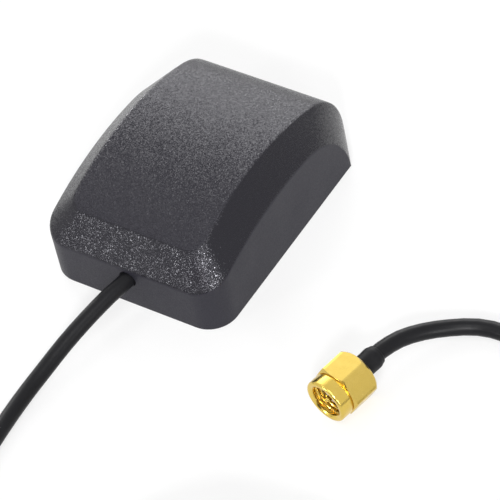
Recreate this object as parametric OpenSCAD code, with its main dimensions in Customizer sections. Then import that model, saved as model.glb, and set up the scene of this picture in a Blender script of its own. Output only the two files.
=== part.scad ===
// GPS antenna: a magnetic puck, its coaxial cable and the SMA plug on the end.
// The origin is the middle of the base, +Z is up, and the cable leaves towards -Y.
// Sizes are in millimetres.

/* [Housing] */
// Width across the flat side walls
housing_w = 34; // [32:0.5:42]
// Length from the front wall to the back of the roof
housing_l = 46; // [43:0.5:56]
// Height of the roof at its highest
housing_h = 17.3; // [16:0.1:19]
// Thickness of the radome's walls
wall = 1.6; // [1.2:0.1:1.9]
// Place of the roof's highest line, from the housing's middle
roof_peak_y = -1.3; // [-4:0.1:0]
// How far the roof falls from there to its front edge
roof_fall = 3.5; // [2.5:0.1:4.5]
// Height of the centre of the roof's round back
roof_back_z = 3.7; // [1:0.1:4.5]
// Height of the side walls at their highest
side_h = 13; // [12:0.1:14]
// Place of the side walls' highest point, from the housing's middle
side_peak_y = -0.9; // [-4:0.1:0]
// How far the side walls fall from there to the front wall
side_fall = 4.55; // [3.5:0.05:5]
// How far the side walls end short of the back
side_back_in = 5.4; // [4:0.1:7]
// How far the roof lies inside the side walls
side_bevel = 4.3; // [3:0.1:6]
// How far the roof lies behind the front wall
front_bevel = 3.9; // [3:0.1:6]
// Radius of the front corners below the bevel
corner_r = 4.9; // [3:0.1:8]
// Radius of the roof's front corners
roof_corner_r = 2.9; // [1:0.1:5]

/* [Base] */
// Thickness of the base cover
cover_t = 1.6; // [1.2:0.1:2]
// Gap all round the base cover
cover_gap = 0.15; // [0.1:0.05:0.3]
// Radius of the screws' shanks
screw_r = 0.95; // [0.8:0.05:1.1]
// Radius of the screws' heads
screw_head_r = 1.9; // [1.6:0.05:2.2]
// Height of the screws' countersunk heads
screw_head_h = 0.9; // [0.7:0.05:1]
// Length of the screws
screw_l = 5.8; // [4.5:0.1:6.5]
// Radius of the screw columns
column_r = 2.1; // [1.9:0.05:2.6]
// Distance of the screws from the side walls' outside
screw_side = 4.8; // [4:0.1:5.4]
// Distance of the front screws from the front wall's outside
screw_front = 4.8; // [4:0.1:5.4]
// Distance of the rear screws from the back
screw_rear = 7.5; // [7:0.1:9]
// Diameter of each magnet
magnet_d = 12; // [8:0.5:12.5]
// Thickness of each magnet
magnet_t = 3; // [2:0.1:3.5]
// Depth of the pockets that hold the magnets
pocket_d = 0.8; // [0.4:0.1:1]
// Distance between the magnets' middles
magnet_pitch = 15; // [13.5:0.5:18]

/* [Board] */
// Thickness of the circuit board
board_t = 1; // [0.8:0.1:1.6]
// Gap between the board's sides and the side walls
board_gap = 0.8; // [0.4:0.1:1.4]
// Distance from the front wall's outside to the board
board_front = 7.5; // [7:0.1:9]
// Bare board at each side of the ceramic patch
patch_side_gap = 2.1; // [1.9:0.1:4]
// Bare board before and behind the patch
patch_end_gap = 1.75; // [1.25:0.05:4]
// Air between the patch's silver face and the roof
roof_room = 2.9; // [2.4:0.1:4]
// Bare ceramic all round the silver face
silver_edge = 2.2; // [1:0.1:4]
// Thickness of the silver face
silver_t = 0.1; // [0.05:0.05:0.2]
// Cut across two corners of the silver face, for circular polarisation
silver_cut = 2.4; // [1:0.2:4]
// Thickness of the tape under the patch
tape_t = 0.3; // [0.2:0.05:0.6]
// Radius of the feed pin
feed_r = 0.4; // [0.3:0.05:0.5]
// Distance of the feed pin from the patch's middle
feed_out = 2.5; // [1.5:0.1:4]
// Width of the shield can
can_w = 16; // [14:0.5:18]
// Length of the shield can
can_l = 17; // [15:0.5:18]
// Height of the shield can
can_h = 2.2; // [1.8:0.1:2.6]
// Gap between the cable's wire and the can
can_gap = 2.45; // [1:0.05:4]
// Thickness of the can's sheet
can_t = 0.25; // [0.2:0.05:0.4]

/* [Cable] */
// Diameter of the cable's jacket
cable_d = 2.8; // [2.4:0.1:3]
// Height of the cable's axis where it leaves the front wall
cable_z = 6.2; // [5.8:0.1:6.4]
// Gap between the jacket and its hole
cable_gap = 0.05; // [0.05:0.05:0.2]
// Radius of the braid
braid_r = 1.1; // [0.9:0.05:1.2]
// Radius of the insulation round the core
core_r = 0.75; // [0.6:0.05:0.8]
// Radius of the inner wire
wire_r = 0.24; // [0.2:0.02:0.3]
// Diameter of the ring crimped on the jacket behind the front wall
stop_d = 3.9; // [3.6:0.1:4.2]
// Length of that ring
stop_l = 2.5; // [1.5:0.1:2.8]
// Middle diameter of the stored coil
coil_d = 35; // [30:1:40]
// Turns side by side in the coil
coil_columns = 6; // [4:1:7]
// Layers of turns in the coil
coil_layers = 4; // [3:1:6]
// Thickness of the coil's tie
tie_t = 0.6; // [0.4:0.1:1]
// Width of the tie
tie_w = 5; // [3:0.5:8]

/* [Plug] */
// Width across the flats of the coupling nut
nut_af = 8; // [7.9:0.05:8.2]
// Length of the coupling nut
nut_l = 7.9; // [7.6:0.1:9]
// Diameter of the nut's round collar
collar_d = 7.75; // [7.2:0.05:7.8]
// Length of the collar and the groove behind it
collar_l = 2.5; // [2:0.1:3]
// Radius of the nut's threaded bore at the thread's crests
thread_r = 2.85; // [2.83:0.01:2.9]
// Radius of the plug body inside the nut
body_r = 2.55; // [2.5:0.01:2.6]
// Running clearance between nut and body
turn_gap = 0.07; // [0.03:0.01:0.1]
// Radius of the nose that enters the socket
nose_r = 2.3; // [2.28:0.01:2.32]
// Wall thickness of the nose
nose_t = 0.25; // [0.2:0.05:0.35]
// Depth of the nose's face inside the nut
nose_in = 2; // [1.6:0.1:2.4]
// Depth of the body's shoulder inside the nut
shoulder_in = 4.7; // [4.4:0.1:5]
// Thickness of the gasket on the shoulder
gasket_t = 0.6; // [0.4:0.1:0.9]
// Radius of the gasket
gasket_r = 2.75; // [2.6:0.01:2.78]
// Depth of the retaining ring's middle inside the nut
ring_in = 5.85; // [5.6:0.05:6]
// Thickness of the retaining ring
ring_t = 0.4; // [0.3:0.05:0.5]
// Radial clearance of the retaining ring in the nut's groove
ring_gap = 0.1; // [0.05:0.01:0.15]
// Outer radius of the retaining ring
ring_r = 2.95; // [2.85:0.01:3]
// Radius of the centre contact's tip
contact_r = 0.46; // [0.45:0.005:0.47]
// Radius of the centre contact's shank in its insulator
shank_r = 0.635; // [0.6:0.005:0.66]
// Depth of the contact's point inside the nut
contact_in = 0.4; // [0.2:0.05:0.6]
// Length of the plug body inside the nut, from the nut's front
body_end = 7.5; // [7.2:0.1:7.6]
// Outer radius of the crimp stem
stem_r = 1.15; // [1.1:0.01:1.2]
// Thickness of the braid on the stem
plug_braid_t = 0.27; // [0.2:0.01:0.3]
// Thickness of the crimp ferrule
ferrule_t = 0.28; // [0.2:0.01:0.35]
// Length of the crimp ferrule
ferrule_l = 3.65; // [3:0.05:4.5]
// Thickness of the heat-shrink sleeve
sleeve_t = 0.225; // [0.15:0.005:0.35]
// Length of sleeve past the ferrule
sleeve_past = 1; // [0.6:0.1:2]

/* [Hidden] */

fine = 96;      // sides of drawn round pieces
coarse = 32;    // sides of rounded corners inside hulls
arc_steps = 18; // steps along each long arc
end_steps = 12; // steps along each round back
tube_sides = 8;
eps = 0.01;     // overshoot of cuts

front_y = -housing_l / 2;
back_y = housing_l / 2;
half_w = housing_w / 2;

// The skin is as thick on the bevels as on the walls when its creases shift by this share
crease_share = tan(22.5);
crease_in = wall * crease_share;

// Radius of an arc that falls this far from its peak over this span
function arc_r(span, fall) = (span * span + fall * fall) / (2 * fall);

// Radius of the round end, with its centre at height z, that an arc of radius r and height h
// runs smoothly into when the end lies at distance d from the arc's peak
function end_r(r, h, z, d) = (r * r - d * d - pow(z - h + r, 2)) / (2 * (r - d));

roof_front_y = front_y + front_bevel;
roof_arc_r = arc_r(roof_peak_y - roof_front_y, roof_fall);
roof_back_r = end_r(roof_arc_r, housing_h, roof_back_z, back_y - roof_peak_y);
side_end_y = back_y - side_back_in;
side_arc_r = arc_r(side_peak_y - front_y, side_fall);
side_back_r = end_r(side_arc_r, side_h, 0, side_end_y - side_peak_y);

screw_x = half_w - screw_side;
screw_front_y = front_y + screw_front;
screw_rear_y = back_y - screw_rear;
hole_gap = 0.15; // round the shanks in the cover
head_sink = 0.05; // of the heads below the cover's face

board_z = cable_z + braid_r + 0.1;
board_w = housing_w - 2 * wall - 2 * board_gap;
board_y0 = front_y + board_front;
board_y1 = screw_rear_y - column_r - 0.4;
board_y = (board_y0 + board_y1) / 2;
board_l = board_y1 - board_y0;
tape_z = board_z + board_t;
patch_z = tape_z + tape_t;
patch_w = min(board_w - 2 * patch_side_gap, board_l - 2 * patch_end_gap);
patch_t = housing_h - wall - roof_room - silver_t - patch_z;
silver_w = patch_w - 2 * silver_edge;
silver_z = patch_z + patch_t;
feed_y = board_y + feed_out;
feed_hole_r = feed_r + 0.1;
feed_low = 1.6; // of the pin's end below the board
post_r = 1.5;
post_x = board_w / 2 - post_r - 0.3;
post_y = 8; // of the posts from the board's middle
rib_w = 2;  // of the ribs that hold the board down
magnet_z = cover_t - pocket_d;

// Cable ends inside the housing
jacket_past = 0.7; // of the jacket behind its ring
braid_l = 4.6;     // of bare braid
core_l = 1;        // of bare insulation
wire_l = 1.4;      // of bare wire
stop_y = front_y + wall;
jacket_end_y = stop_y + stop_l + jacket_past;
braid_end_y = jacket_end_y + braid_l;
core_end_y = braid_end_y + core_l;
wire_end_y = core_end_y + wire_l;

can_y = wire_end_y + can_gap + can_l / 2;

// The stored coil
coil_w = coil_columns * cable_d;
coil_h = coil_layers * cable_d;
coil_edge = cable_d * 0.3;
coil_x = 53;
coil_out = 58; // of the coil's middle from the front wall
outer_turn = coil_d / 2 + coil_w / 2 - cable_d / 2;
coil_at = [coil_x, front_y - coil_out, tie_t];
tie_side = 180; // direction of the tie from the coil's middle

// The plug lies on a flat of its nut
plug_at = [41.2, front_y - 7, nut_af / 2];
plug_turn = 12; // of the plug's axis from the Y axis, seen from above
plug_axis = [sin(plug_turn), cos(plug_turn), 0];

// Route points: across, distance from the front wall, and lift of the cable's underside.
// The lead goes straight out, down to the surface and round to the coil's outer turn.
LEAD_POINTS = [
    [-1, -4, 4.5], [-2.3, -9, 3.5], [-3.5, -14, 2.2], [-4.3, -19, 1], [-4.8, -24, 0.2],
    [-4.7, -29, 0], [-4.2, -35, 0], [-3.4, -42, 0], [-2, -49, 0], [0.6, -56, 0],
    [4.6, -62.5, 0], [9.8, -68.3, 0], [16, -73.2, 0], [22.8, -77.2, 0], [30.2, -80.1, 0.1],
    [37.8, -81.8, 0.3], [45.4, -82.4, 0.5], [coil_x, -coil_out - outer_turn, tie_t]
];
// The tail comes off the coil's top layer, down to the surface, and round to the plug
TAIL_POINTS = [
    [coil_x + outer_turn, -coil_out, tie_t + coil_h - cable_d],
    [77.7, -50, 8.4], [77.8, -43, 6.4], [77.8, -36, 3.4], [77.8, -29, 1], [77.8, -22, 0.1],
    [77.7, -15, 0], [77.2, -8, 0], [76.1, -1.4, 0], [74.2, 5, 0], [71.4, 10.6, 0], [67.6, 15.1, 0],
    [63.2, 17.8, 0], [58.6, 18.7, 0], [54.2, 18, 0.1], [50.3, 15.7, 0.5], [47.3, 12.6, 1.4],
    [45.2, 9.3, 2.2]
];

hex_r = nut_af / 2 / cos(30);
bore_r = body_r + turn_gap;
groove_r = ring_r + ring_gap;
neck_r = 2.1; // of the body inside the retaining ring
step_in = shoulder_in + 0.1;
insulator_r = nose_r - nose_t;
insulator_end = body_end - 0.9;
stem_start = body_end + 0.05;
stem_end = stem_start + ferrule_l - 0.4;
ferrule_end = stem_start + ferrule_l;
plug_braid_r = stem_r + plug_braid_t;
ferrule_r = plug_braid_r + ferrule_t;
sleeve_r = ferrule_r + sleeve_t;
cup_end = 8.6; // of the contact's solder cup
jacket_start = ferrule_end + 0.1;

function from_wall(points) = [for (p = points) p + [0, front_y, cable_d / 2]];
LEAD = concat([[0, jacket_end_y, cable_z], [0, front_y, cable_z]], from_wall(LEAD_POINTS));
TAIL = concat(from_wall(TAIL_POINTS), [for (a = [1.9, 0]) plug_at + (jacket_start + a) * plug_axis]);

// Points of an arc round c from angle a to angle b
function arc(c, r, a, b, n) = [for (i = [0:n]) let (t = a + (b - a) * i / n) c + r * [cos(t), sin(t)]];

// Side view of the housing: up the front, along the long arc and round the back.
// Moved in by d, both arcs keep their centres.
function outline(y0, peak, h, r, back, back_r, d) =
    let (
        c = [peak, h - r],
        join = atan2(back[1] - c[1], back[0] - c[0]),
        start = acos((y0 - c[0]) / (r - d))
    )
    concat(
        [[y0, 0]],
        arc(c, r - d, start, join, arc_steps),
        [for (i = [1:end_steps]) let (t = join * (1 - i / end_steps)) back + (back_r - d) * [cos(t), sin(t)]],
        back[1] > 0 ? [[back[0] + back_r - d, 0]] : []
    );

// One slice of the housing: a side view pulled across the width, with round front corners
module slice(points, half, y0, r) {
    intersection() {
        rotate([90, 0, 90])
            translate([0, 0, -half])
                linear_extrude(2 * half)
                    polygon(points);
        linear_extrude(2 * housing_h)
            union() {
                translate([-half, y0 + r])
                    square([2 * half, 2 * housing_l]);
                translate([r - half, y0])
                    square([2 * (half - r), 2 * housing_l]);
                for (s = [-1, 1])
                    translate([s * (half - r), y0 + r])
                        circle(r, $fn = coarse);
            }
    }
}

// The housing's form, moved in by d: tall narrow roof slice and low wide wall slice,
// joined by bevels. c moves the creases in with it.
module form(d, c) {
    side_end = [side_end_y - side_back_r, 0];
    roof_end = [back_y - roof_back_r, roof_back_z];
    hull() {
        slice(
            outline(front_y + d, side_peak_y, side_h, side_arc_r, side_end, side_back_r, c),
            half_w - d, front_y + d, corner_r - d
        );
        slice(
            outline(roof_front_y + c, roof_peak_y, housing_h, roof_arc_r, roof_end, roof_back_r, d),
            half_w - side_bevel - c, roof_front_y + c, roof_corner_r - c
        );
    }
}

module at_screws() {
    for (x = [-screw_x, screw_x], y = [screw_front_y, screw_rear_y])
        translate([x, y, 0])
            children();
}

// Something that stays solid inside the cavity: screw columns, and ribs above the board
module columns() {
    at_screws()
        translate([0, 0, cover_t])
            cylinder(h = housing_h, r = column_r, $fn = fine);
    for (x = [-1, 1], y = [-1, 1])
        translate([x * (half_w - wall - board_gap - rib_w / 2 + 0.2) - rib_w / 2, board_y + y * post_y - rib_w / 2, tape_z])
            cube([rib_w, rib_w, housing_h]);
}

module radome() {
    color([0.22, 0.22, 0.25])
    difference() {
        form(0, 0);
        difference() {
            translate([0, 0, -eps])
                form(wall, crease_in);
            columns();
        }
        at_screws()
            translate([0, 0, cover_t - eps])
                cylinder(h = screw_l - cover_t + 0.6, r = screw_r, $fn = fine);
        translate([0, front_y - eps, cable_z])
            rotate([-90, 0, 0])
                cylinder(h = wall + 2 * eps, r = cable_d / 2 + cable_gap, $fn = fine);
    }
}

module base_cover() {
    color([0.16, 0.16, 0.18])
    difference() {
        union() {
            intersection() {
                form(wall + cover_gap, crease_in + cover_gap);
                translate([-housing_w, -housing_l, 0])
                    cube([2 * housing_w, 2 * housing_l, cover_t]);
            }
            for (x = [-1, 1], y = [-1, 1])
                translate([x * post_x, board_y + y * post_y, cover_t - eps])
                    cylinder(h = board_z - cover_t + eps, r = post_r, $fn = fine);
        }
        for (s = [-1, 1])
            translate([0, board_y + s * magnet_pitch / 2, magnet_z])
                cylinder(h = cover_t, d = magnet_d + 0.1, $fn = fine);
        at_screws() {
            translate([0, 0, -eps])
                cylinder(h = cover_t + 2 * eps, r = screw_r + hole_gap, $fn = fine);
            translate([0, 0, -eps])
                cylinder(h = screw_head_h + hole_gap, r1 = screw_head_r + hole_gap, r2 = screw_r + hole_gap, $fn = fine);
        }
    }
}

// Countersunk screw with a cross recess, point up
module base_screw() {
    slot_w = 0.45;
    difference() {
        union() {
            translate([0, 0, head_sink])
                cylinder(h = screw_head_h, r1 = screw_head_r, r2 = screw_r, $fn = fine);
            translate([0, 0, head_sink + screw_head_h])
                cylinder(h = screw_l - screw_head_h - 0.6, r = screw_r, $fn = fine);
            translate([0, 0, head_sink + screw_l - 0.6])
                cylinder(h = 0.6, r1 = screw_r, r2 = screw_r / 2, $fn = fine);
        }
        for (a = [0, 90])
            rotate(a)
                translate([-screw_head_r * 0.6, -slot_w / 2, -eps])
                    cube([screw_head_r * 1.2, slot_w, screw_head_h * 0.6]);
    }
}

module base_screws() {
    color([0.7, 0.7, 0.72])
    at_screws()
        base_screw();
}

module magnet(s) {
    color([0.62, 0.62, 0.64])
    translate([0, board_y + s * magnet_pitch / 2, magnet_z])
        cylinder(h = magnet_t, d = magnet_d, $fn = fine);
}

module magnet_front() {
    magnet(-1);
}

module magnet_rear() {
    magnet(1);
}

module amplifier_board() {
    color([0.1, 0.42, 0.22])
    difference() {
        translate([-board_w / 2, board_y0, board_z])
            cube([board_w, board_l, board_t]);
        translate([0, feed_y, board_z - eps])
            cylinder(h = board_t + 2 * eps, r = feed_hole_r, $fn = fine);
    }
}

module patch_tape() {
    color([0.92, 0.92, 0.88])
    difference() {
        translate([-patch_w / 2 + 0.5, board_y - patch_w / 2 + 0.5, tape_z])
            cube([patch_w - 1, patch_w - 1, tape_t]);
        translate([0, feed_y, tape_z - eps])
            cylinder(h = tape_t + 2 * eps, r = feed_hole_r, $fn = fine);
    }
}

module patch_ceramic() {
    color([0.78, 0.7, 0.6])
    difference() {
        translate([-patch_w / 2, board_y - patch_w / 2, patch_z])
            cube([patch_w, patch_w, patch_t]);
        translate([0, feed_y, patch_z - eps])
            cylinder(h = patch_t + 2 * eps, r = feed_hole_r, $fn = fine);
    }
}

// Fired silver with two opposite corners cut, which makes the patch circularly polarised
module patch_silver() {
    s = silver_w / 2;
    k = silver_cut;
    color([0.85, 0.86, 0.87])
    difference() {
        translate([0, board_y, silver_z])
            linear_extrude(silver_t)
                polygon([[-s, -s], [s - k, -s], [s, k - s], [s, s], [k - s, s], [-s, s - k]]);
        translate([0, feed_y, silver_z - eps])
            cylinder(h = silver_t + 2 * eps, r = feed_r, $fn = fine);
    }
}

module feed_pin() {
    color([0.85, 0.7, 0.35])
    translate([0, feed_y, board_z - feed_low]) {
        cylinder(h = silver_z + silver_t - board_z + feed_low, r = feed_r, $fn = fine);
        translate([0, 0, silver_z + silver_t - board_z + feed_low])
            cylinder(h = 0.3, r = 2.4 * feed_r, $fn = fine);
    }
}

// Folded sheet box, open towards the board
module shield_can() {
    color([0.75, 0.76, 0.78])
    difference() {
        translate([-can_w / 2, can_y - can_l / 2, board_z - can_h])
            cube([can_w, can_l, can_h]);
        translate([can_t - can_w / 2, can_y - can_l / 2 + can_t, board_z - can_h + can_t])
            cube([can_w - 2 * can_t, can_l - 2 * can_t, can_h]);
    }
}

// A chip under the board, inside the can
module chip(at, size) {
    translate([at[0] - size[0] / 2, can_y + at[1] - size[1] / 2, board_z - size[2]])
        cube(size);
}

module first_amplifier() {
    color([0.12, 0.12, 0.13])
    chip([-4, 2], [2, 1.25, 0.9]);
}

module second_amplifier() {
    color([0.12, 0.12, 0.13])
    chip([4, -4], [2, 1.25, 0.9]);
}

module band_filter() {
    color([0.8, 0.72, 0.5])
    chip([4, 2], [3, 3, 1.1]);
}

module board_passives() {
    color([0.55, 0.42, 0.3])
    for (x = [-5.5, -3.5, -1.5, 0.5], y = [-6.2, -4.2])
        chip([x, y], [1, 0.5, 0.45]);
}

// Tube along -Y to +Y round the cable's axis inside the housing
module along_cable(y0, y1, r, hole_r) {
    translate([0, y0, cable_z])
        rotate([-90, 0, 0])
            difference() {
                cylinder(h = y1 - y0, r = r, $fn = fine);
                if (hole_r > 0)
                    translate([0, 0, -eps])
                        cylinder(h = y1 - y0 + 2 * eps, r = hole_r, $fn = fine);
            }
}

module cable_stop_ring() {
    color([0.8, 0.65, 0.3])
    along_cable(stop_y, stop_y + stop_l, stop_d / 2, cable_d / 2);
}

module cable_braid() {
    color([0.72, 0.6, 0.5])
    along_cable(jacket_end_y, braid_end_y, braid_r, core_r);
}

module cable_core() {
    color([0.93, 0.93, 0.9])
    along_cable(jacket_end_y, core_end_y, core_r, wire_r);
}

module cable_wire() {
    color([0.8, 0.5, 0.3])
    along_cable(jacket_end_y, wire_end_y, wire_r, 0);
}

// Solder that joins the braid and the wire to the board above them
module solder_joints() {
    color([0.8, 0.81, 0.83])
    difference() {
        union() {
            translate([0, braid_end_y - 1, cable_z])
                cylinder(h = board_z - cable_z, r1 = braid_r, r2 = braid_r + 0.5, $fn = fine);
            translate([0, wire_end_y - 0.7, cable_z])
                cylinder(h = board_z - cable_z, r1 = 2 * wire_r, r2 = 3 * wire_r, $fn = fine);
        }
        along_cable(jacket_end_y, braid_end_y + eps, braid_r, 0);
        along_cable(jacket_end_y, core_end_y, core_r, 0);
        along_cable(jacket_end_y, wire_end_y + eps, wire_r, 0);
    }
}

function unit(v) = v / norm(v);

// Direction of the route at point i
function heading(p, i) = unit(p[min(i + 1, len(p) - 1)] - p[max(i - 1, 0)]);

// Ring of points square to the route at point i
function ring(p, i, r) =
    let (t = heading(p, i), s = unit(cross([0, 0, 1], t)), u = cross(t, s))
    [for (k = [0:tube_sides - 1]) let (a = 360 * k / tube_sides) p[i] + r * (cos(a) * s + sin(a) * u)];

module tube(p, r) {
    n = tube_sides;
    last = (len(p) - 1) * n;
    polyhedron(
        [for (i = [0:len(p) - 1]) each ring(p, i, r)],
        concat(
            [[for (k = [0:n - 1]) k]],
            [for (i = [0:len(p) - 2], k = [0:n - 1])
                [i * n + k, i * n + n + k, i * n + n + (k + 1) % n, i * n + (k + 1) % n]],
            [[for (k = [n - 1:-1:0]) last + k]]
        )
    );
}

module cable_lead() {
    color([0.1, 0.1, 0.11])
    tube(LEAD, cable_d / 2);
}

module cable_tail() {
    color([0.1, 0.1, 0.11])
    tube(TAIL, cable_d / 2);
}

// Section through the bundle of turns, with its corners taken off
module bundle(grow) {
    x0 = coil_d / 2 - coil_w / 2 - grow;
    x1 = coil_d / 2 + coil_w / 2 + grow;
    k = coil_edge;
    polygon([
        [x0 + k, -grow], [x1 - k, -grow], [x1, k - grow], [x1, coil_h - k + grow],
        [x1 - k, coil_h + grow], [x0 + k, coil_h + grow], [x0, coil_h - k + grow], [x0, k - grow]
    ]);
}

module cable_coil() {
    color([0.1, 0.1, 0.11])
    translate(coil_at)
        rotate_extrude($fn = fine)
            bundle(0);
}

module coil_tie() {
    sweep = tie_w / (PI * coil_d) * 360;
    color([0.15, 0.15, 0.16])
    translate(coil_at)
        rotate([0, 0, tie_side - sweep / 2])
            rotate_extrude(angle = sweep, $fn = fine)
                difference() {
                    bundle(tie_t);
                    bundle(0);
                }
}

// Places a plug piece, whose axis is Z and whose front is at zero
module on_plug() {
    translate(plug_at)
        rotate([0, 0, -plug_turn])
            rotate([-90, 0, 0])
                children();
}

// Turned piece from [radius, depth] pairs
module turned(points) {
    rotate_extrude($fn = fine)
        polygon(points);
}

module coupling_nut() {
    collar_r = collar_d / 2;
    land = collar_l - 0.2;
    corner = hex_r + 0.1;
    color([0.86, 0.7, 0.28])
    on_plug()
        difference() {
            intersection() {
                turned([
                    [0, 0], [collar_r - 0.3, 0], [collar_r - 0.1, 0.08], [collar_r, 0.28],
                    [collar_r, land], [collar_r - 0.25, land], [collar_r - 0.25, collar_l],
                    [nut_af / 2 - 0.05, collar_l], [corner, collar_l + 0.45],
                    [corner, nut_l - 1.4], [hex_r - 0.25, nut_l - 0.6], [nut_af / 2 - 0.2, nut_l], [0, nut_l]
                ]);
                cylinder(h = nut_l, r = hex_r, $fn = 6);
            }
            turned([
                [0, -eps], [thread_r + 0.35, -eps], [thread_r, 0.3], [thread_r, step_in],
                [bore_r, step_in], [bore_r, nut_l + eps], [0, nut_l + eps]
            ]);
            translate([0, 0, ring_in - ring_t / 2 - 0.05])
                cylinder(h = ring_t + 0.1, r = groove_r, $fn = fine);
        }
}

module plug_body() {
    neck_start = ring_in - ring_t / 2 - 0.03;
    neck_end = ring_in + ring_t / 2 + 0.03;
    color([0.86, 0.7, 0.28])
    on_plug()
        turned([
            [insulator_r, nose_in], [nose_r, nose_in], [nose_r, shoulder_in], [body_r, shoulder_in],
            [body_r, neck_start], [neck_r, neck_start], [neck_r, neck_end], [body_r, neck_end],
            [body_r, body_end], [stem_r, body_end], [stem_r, stem_end], [core_r, stem_end],
            [core_r, insulator_end], [insulator_r, insulator_end]
        ]);
}

// Split ring that keeps the nut on the body
module retaining_ring() {
    color([0.8, 0.66, 0.3])
    on_plug()
        translate([0, 0, ring_in - ring_t / 2])
            difference() {
                cylinder(h = ring_t, r = ring_r, $fn = fine);
                translate([0, 0, -eps])
                    cylinder(h = ring_t + 2 * eps, r = neck_r + 0.05, $fn = fine);
                translate([0, -0.6, -eps])
                    cube([2 * ring_r, 1.2, ring_t + 2 * eps]);
            }
}

module plug_gasket() {
    color([0.75, 0.2, 0.15])
    on_plug()
        translate([0, 0, shoulder_in - gasket_t])
            difference() {
                cylinder(h = gasket_t, r = gasket_r, $fn = fine);
                translate([0, 0, -eps])
                    cylinder(h = gasket_t + 2 * eps, r = nose_r, $fn = fine);
            }
}

module plug_insulator() {
    color([0.9, 0.86, 0.84])
    on_plug()
        turned([
            [shank_r, nose_in], [insulator_r, nose_in],
            [insulator_r, insulator_end], [shank_r, insulator_end]
        ]);
}

module centre_contact() {
    cup_r = wire_r + 0.01;
    color([0.88, 0.74, 0.3])
    on_plug()
        turned([
            [0, contact_in], [0.2, contact_in], [contact_r, contact_in + 0.35], [contact_r, nose_in - 0.2],
            [shank_r, nose_in - 0.2], [shank_r, insulator_end], [shank_r - 0.05, insulator_end],
            [shank_r - 0.05, cup_end], [cup_r, cup_end], [cup_r, cup_end - 1.3], [0, cup_end - 1.3]
        ]);
}

module plug_braid() {
    color([0.72, 0.6, 0.5])
    on_plug()
        turned([
            [stem_r, stem_start], [plug_braid_r, stem_start], [plug_braid_r, ferrule_end],
            [core_r, ferrule_end], [core_r, stem_end], [stem_r, stem_end]
        ]);
}

// Insulation and wire of the cable inside the stem, up to the contact's cup
module plug_core() {
    color([0.93, 0.93, 0.9])
    on_plug() {
        translate([0, 0, cup_end])
            cylinder(h = jacket_start - cup_end, r = core_r, $fn = fine);
        translate([0, 0, cup_end - 1.3])
            cylinder(h = 1.3 + eps, r = wire_r, $fn = fine);
    }
}

module crimp_ferrule() {
    color([0.86, 0.7, 0.28])
    on_plug()
        turned([
            [plug_braid_r, stem_start], [ferrule_r, stem_start],
            [ferrule_r, ferrule_end], [plug_braid_r, ferrule_end]
        ]);
}

// Shrunk down behind the ferrule on to the cable's jacket
module heat_shrink_sleeve() {
    jacket_r = cable_d / 2 + 0.02;
    rear = ferrule_end + sleeve_past;
    color([0.09, 0.09, 0.1])
    on_plug()
        turned([
            [ferrule_r, stem_start], [sleeve_r, stem_start], [sleeve_r, ferrule_end],
            [sleeve_r - 0.07, ferrule_end + 0.45], [jacket_r + sleeve_t, rear - 0.15],
            [jacket_r + sleeve_t - 0.1, rear], [jacket_r, rear], [jacket_r, ferrule_end + 0.2],
            [ferrule_r, ferrule_end + 0.05]
        ]);
}

radome();
base_cover();
base_screws();
magnet_front();
magnet_rear();
amplifier_board();
patch_ceramic();
patch_silver();
patch_tape();
feed_pin();
shield_can();
first_amplifier();
second_amplifier();
band_filter();
board_passives();
cable_stop_ring();
cable_braid();
cable_core();
cable_wire();
solder_joints();
cable_lead();
cable_coil();
coil_tie();
cable_tail();
coupling_nut();
plug_body();
retaining_ring();
plug_gasket();
plug_insulator();
centre_contact();
plug_braid();
plug_core();
crimp_ferrule();
heat_shrink_sleeve();
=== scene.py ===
import math

import bmesh
import bpy
from mathutils import Matrix, Vector
from mathutils.geometry import tessellate_polygon


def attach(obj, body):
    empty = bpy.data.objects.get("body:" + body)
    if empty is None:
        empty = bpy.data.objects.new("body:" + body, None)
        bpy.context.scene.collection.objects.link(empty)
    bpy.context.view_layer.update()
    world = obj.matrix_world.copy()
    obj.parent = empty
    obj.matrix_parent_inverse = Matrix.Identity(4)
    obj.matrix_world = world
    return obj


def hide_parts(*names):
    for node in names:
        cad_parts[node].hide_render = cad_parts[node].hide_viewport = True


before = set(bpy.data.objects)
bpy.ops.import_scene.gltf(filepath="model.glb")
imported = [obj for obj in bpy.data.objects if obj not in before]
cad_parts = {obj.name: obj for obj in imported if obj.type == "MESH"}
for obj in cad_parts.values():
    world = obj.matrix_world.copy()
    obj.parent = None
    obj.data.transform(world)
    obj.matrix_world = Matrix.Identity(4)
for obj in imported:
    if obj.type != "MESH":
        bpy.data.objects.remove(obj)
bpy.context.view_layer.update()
mm = 0.001
print("frame loaded:", len(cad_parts), "nodes")

# Camera, solved from the housing's outline in the photograph, with the cable's width as the scale

photoCamera = {
    "place": (0.27744, -0.30412, 0.43609),
    "right": (0.83329939, 0.52873301, -0.16141107),
    "up": (-0.30263185, 0.68063716, 0.6671934),
    "lens": 261.49,      # mm on a 36 mm sensor
    "shiftX": 0.0812,    # the photograph's frame lies right of and below the lens axis
    "shiftY": -0.0849,
    "clipStart": 0.01,
}


def makeCamera(facts):
    data = bpy.data.cameras.new("photoCamera")
    data.lens = facts["lens"]
    data.shift_x = facts["shiftX"]
    data.shift_y = facts["shiftY"]
    data.clip_start = facts["clipStart"]
    camera = bpy.data.objects.new("photoCamera", data)
    bpy.context.scene.collection.objects.link(camera)
    right = Vector(facts["right"])
    up = Vector(facts["up"])
    turn = Matrix((right, up, right.cross(up))).transposed().to_4x4()
    camera.matrix_world = Matrix.Translation(facts["place"]) @ turn
    bpy.context.scene.camera = camera


makeCamera(photoCamera)
print("camera made")

# Helpers for meshes; points are in millimetres

weld = 0.002


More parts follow.
